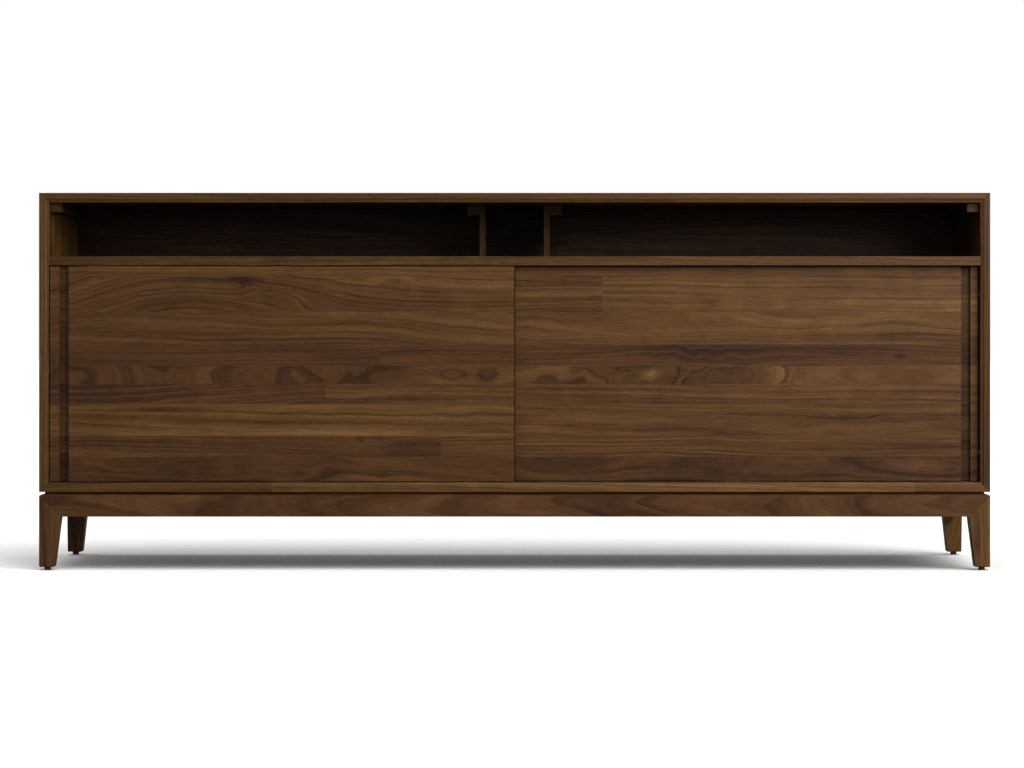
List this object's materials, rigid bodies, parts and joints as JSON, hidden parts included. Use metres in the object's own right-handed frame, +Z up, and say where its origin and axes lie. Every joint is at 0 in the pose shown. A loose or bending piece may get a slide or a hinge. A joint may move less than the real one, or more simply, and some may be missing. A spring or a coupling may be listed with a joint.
{
  "type": "media cabinet",
  "caption": "Low walnut media cabinet with an open divided shelf over bypass sliding doors with routed finger grooves, on a mitred leg base with adjustable glides.",
  "frame": {"origin": "on the floor, below the middle of the cabinet, with the levelers screwed right in", "axes": "+X runs along the width, to the right of someone facing the doors; the front faces -Y; +Z is up"},
  "size_m": [2, 0.46, 0.794],
  "materials": {
    "walnut_case": "satin oil",
    "walnut_back": "satin oil",
    "walnut_base": "satin oil",
    "walnut_door": "satin oil",
    "rail_wood": "planed, unfinished",
    "zinc_steel": "zinc plated",
    "track_plastic": "extruded, dark brown",
    "black_plastic": "moulded",
    "wheel_plastic": "moulded nylon, dark grey",
    "bumper_felt": "felt",
    "glide_plastic": "moulded, brown"
  },
  "bodies": {
    "cabinet": {"top_panel": "walnut_case", "left_side_panel": "walnut_case", "right_side_panel": "walnut_case", "bottom_panel": "walnut_case", "fixed_shelf": "walnut_case", "left_back_panel": "walnut_back", "right_back_panel": "walnut_back", "left_bay_divider": "walnut_case", "right_bay_divider": "walnut_case", "centre_partition": "walnut_case", "left_side_cleat": "walnut_case", "right_side_cleat": "walnut_case", "left_divider_cleat": "walnut_case", "right_divider_cleat": "walnut_case", "left_adjustable_shelf": "walnut_case", "right_adjustable_shelf": "walnut_case", "left_shelf_pins": "zinc_steel", "right_shelf_pins": "zinc_steel", "front_bottom_track": "track_plastic", "rear_bottom_track": "track_plastic", "front_top_track": "track_plastic", "rear_top_track": "track_plastic", "door_bumpers": "bumper_felt", "front_apron": "walnut_base", "back_apron": "walnut_base", "left_apron": "walnut_base", "right_apron": "walnut_base", "front_left_leg": "walnut_base", "front_right_leg": "walnut_base", "rear_left_leg": "walnut_base", "rear_right_leg": "walnut_base", "left_cross_rail": "rail_wood", "centre_cross_rail": "rail_wood", "right_cross_rail": "rail_wood", "corner_blocks": "rail_wood", "base_screws": "zinc_steel", "cleat_screws": "zinc_steel", "back_panel_screws": "zinc_steel", "leveler_sockets": "zinc_steel"},
    "left_door": {"left_door_panel": "walnut_door", "left_door_dust_strip": "bumper_felt", "left_door_roller_housings": "black_plastic", "left_door_axles": "zinc_steel", "left_door_top_guides": "black_plastic"},
    "right_door": {"right_door_panel": "walnut_door", "right_door_roller_housings": "black_plastic", "right_door_axles": "zinc_steel", "right_door_top_guides": "black_plastic"},
    "left_outer_wheel": {"left_door_outer_wheel": "wheel_plastic"},
    "left_inner_wheel": {"left_door_inner_wheel": "wheel_plastic"},
    "right_outer_wheel": {"right_door_outer_wheel": "wheel_plastic"},
    "right_inner_wheel": {"right_door_inner_wheel": "wheel_plastic"},
    "front_left_leveler": {"front_left_leveler": "glide_plastic"},
    "front_right_leveler": {"front_right_leveler": "glide_plastic"},
    "rear_left_leveler": {"rear_left_leveler": "glide_plastic"},
    "rear_right_leveler": {"rear_right_leveler": "glide_plastic"}
  },
  "joints": [
    {"name": "left_door_slide", "type": "slide", "parent": "cabinet", "child": "left_door", "axis": [1, 0, 0], "range_m": [0, 0.977]},
    {"name": "right_door_slide", "type": "slide", "parent": "cabinet", "child": "right_door", "axis": [-1, 0, 0], "range_m": [0, 0.954]},
    {"name": "left_outer_wheel_turn", "type": "hinge", "parent": "left_door", "child": "left_outer_wheel", "pos_m": [-0.888, -0.216, 0.1913], "axis": [0, 1, 0], "continuous": true},
    {"name": "left_inner_wheel_turn", "type": "hinge", "parent": "left_door", "child": "left_inner_wheel", "pos_m": [-0.09, -0.216, 0.1913], "axis": [0, 1, 0], "continuous": true},
    {"name": "right_outer_wheel_turn", "type": "hinge", "parent": "right_door", "child": "right_outer_wheel", "pos_m": [0.888, -0.195, 0.1913], "axis": [0, -1, 0], "continuous": true},
    {"name": "right_inner_wheel_turn", "type": "hinge", "parent": "right_door", "child": "right_inner_wheel", "pos_m": [0.066, -0.195, 0.1913], "axis": [0, -1, 0], "continuous": true},
    {"name": "front_left_leveler_screw", "type": "slide", "parent": "cabinet", "child": "front_left_leveler", "axis": [0, 0, -1], "range_m": [0, 0.01]},
    {"name": "front_right_leveler_screw", "type": "slide", "parent": "cabinet", "child": "front_right_leveler", "axis": [0, 0, -1], "range_m": [0, 0.01]},
    {"name": "rear_left_leveler_screw", "type": "slide", "parent": "cabinet", "child": "rear_left_leveler", "axis": [0, 0, -1], "range_m": [0, 0.01]},
    {"name": "rear_right_leveler_screw", "type": "slide", "parent": "cabinet", "child": "rear_right_leveler", "axis": [0, 0, -1], "range_m": [0, 0.01]}
  ],
  "couplings": [
    {"joint": "left_outer_wheel_turn", "follows": "left_door_slide", "rad_per_m": 83.333},
    {"joint": "left_inner_wheel_turn", "follows": "left_door_slide", "rad_per_m": 83.333},
    {"joint": "right_outer_wheel_turn", "follows": "right_door_slide", "rad_per_m": 83.333},
    {"joint": "right_inner_wheel_turn", "follows": "right_door_slide", "rad_per_m": 83.333}
  ]
}
